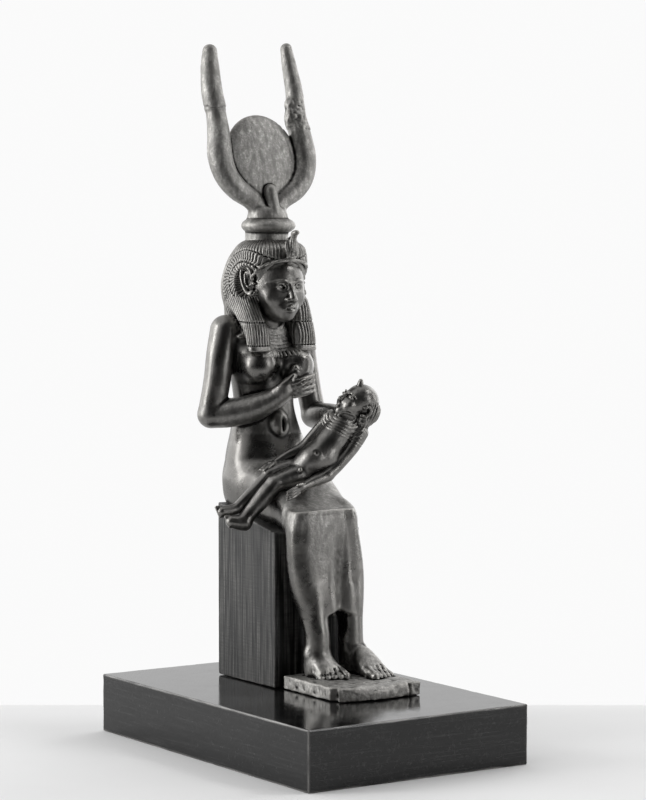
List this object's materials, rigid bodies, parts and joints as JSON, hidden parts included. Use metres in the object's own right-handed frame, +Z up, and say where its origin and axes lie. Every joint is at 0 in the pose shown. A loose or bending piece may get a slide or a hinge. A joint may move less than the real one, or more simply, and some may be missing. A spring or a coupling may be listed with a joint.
{
  "type": "isis statue",
  "caption": "Bronze statuette of a seated goddess with a horned disc headdress and a child across her lap, on a tall dark seat block and a low black base slab.",
  "frame": {"origin": "middle of the base slab's underside", "axes": "+Z up, -Y is the way she faces, +X is her left"},
  "size_m": [0.086, 0.13, 0.2392],
  "materials": {
    "bronze": "dark, worn and glossy bronze",
    "block_wood": "dark stained, fine grain, satin",
    "base_black": "black polish, worn at the edges"
  },
  "bodies": {
    "root": {"statue": "bronze", "seat_block": "block_wood", "base_slab": "base_black"}
  },
  "joints": []
}
